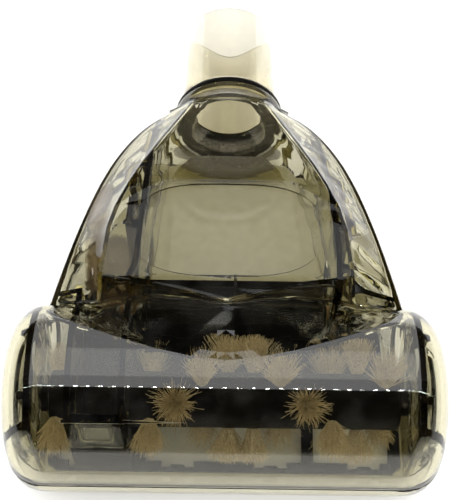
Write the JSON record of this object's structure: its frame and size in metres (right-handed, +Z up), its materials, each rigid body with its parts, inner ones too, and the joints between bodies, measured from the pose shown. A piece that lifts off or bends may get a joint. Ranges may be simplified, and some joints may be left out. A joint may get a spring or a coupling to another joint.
{
  "type": "vacuum turbo brush",
  "caption": "Air-driven vacuum brush head: clear hooded case, belt-driven tufted roll over a suction slot, inner turbine and a tilting neck that takes a wand.",
  "frame": {"origin": "on the flat sole, on the centre line, just behind the black plate round the slot", "axes": "+Z up from the sole, -Y towards the brush hood, +Y towards the neck, +X across"},
  "size_m": [0.158, 0.2058, 0.0592],
  "materials": {
    "clear_plastic": "smoke-tinted clear, gloss",
    "black_plastic": "satin moulded",
    "belt_rubber": "matte",
    "bristle": "stiff nylon fibre",
    "steel": "turned",
    "bronze": "sintered",
    "grey_bush": "moulded"
  },
  "bodies": {
    "case": {"upper_shell": "clear_plastic", "lower_shell": "clear_plastic", "sole_plate": "black_plastic", "roll_bush_left": "grey_bush", "roll_bush_right": "grey_bush", "turbine_bearing_left": "bronze", "turbine_bearing_right": "bronze", "drive_belt": "belt_rubber"},
    "roll": {"roll_core": "black_plastic", "roll_pulley": "black_plastic", "roll_axle_left": "steel", "roll_axle_right": "steel", "tuft_01": "bristle", "tuft_02": "bristle", "tuft_03": "bristle", "tuft_04": "bristle", "tuft_05": "bristle", "tuft_06": "bristle", "tuft_07": "bristle", "tuft_08": "bristle", "tuft_09": "bristle", "tuft_10": "bristle", "tuft_11": "bristle", "tuft_12": "bristle", "tuft_13": "bristle", "tuft_14": "bristle", "tuft_15": "bristle", "tuft_16": "bristle", "tuft_17": "bristle", "tuft_18": "bristle", "tuft_19": "bristle", "tuft_20": "bristle", "tuft_21": "bristle", "tuft_22": "bristle"},
    "turbine": {"turbine_wheel": "black_plastic", "turbine_shaft": "steel", "drive_pulley": "black_plastic"},
    "knuckle": {"neck_knuckle": "clear_plastic", "neck_collar": "black_plastic"},
    "tube": {"wand_tube": "clear_plastic"}
  },
  "joints": [
    {"name": "brush_spin", "type": "hinge", "parent": "case", "child": "roll", "pos_m": [0, -0.059, 0.0255], "axis": [1, 0, 0], "continuous": true},
    {"name": "turbine_spin", "type": "hinge", "parent": "case", "child": "turbine", "pos_m": [0, -0.023, 0.0255], "axis": [1, 0, 0], "continuous": true},
    {"name": "neck_tilt", "type": "hinge", "parent": "case", "child": "knuckle", "pos_m": [0, 0.065, 0.0255], "axis": [1, 0, 0], "range_deg": [0, 30]},
    {"name": "tube_swivel", "type": "hinge", "parent": "knuckle", "child": "tube", "pos_m": [0, 0.065, 0.0255], "axis": [0, 0.9954, -0.0958], "continuous": true}
  ],
  "couplings": [
    {"joint": "turbine_spin", "follows": "brush_spin", "ratio": 2.2727}
  ]
}
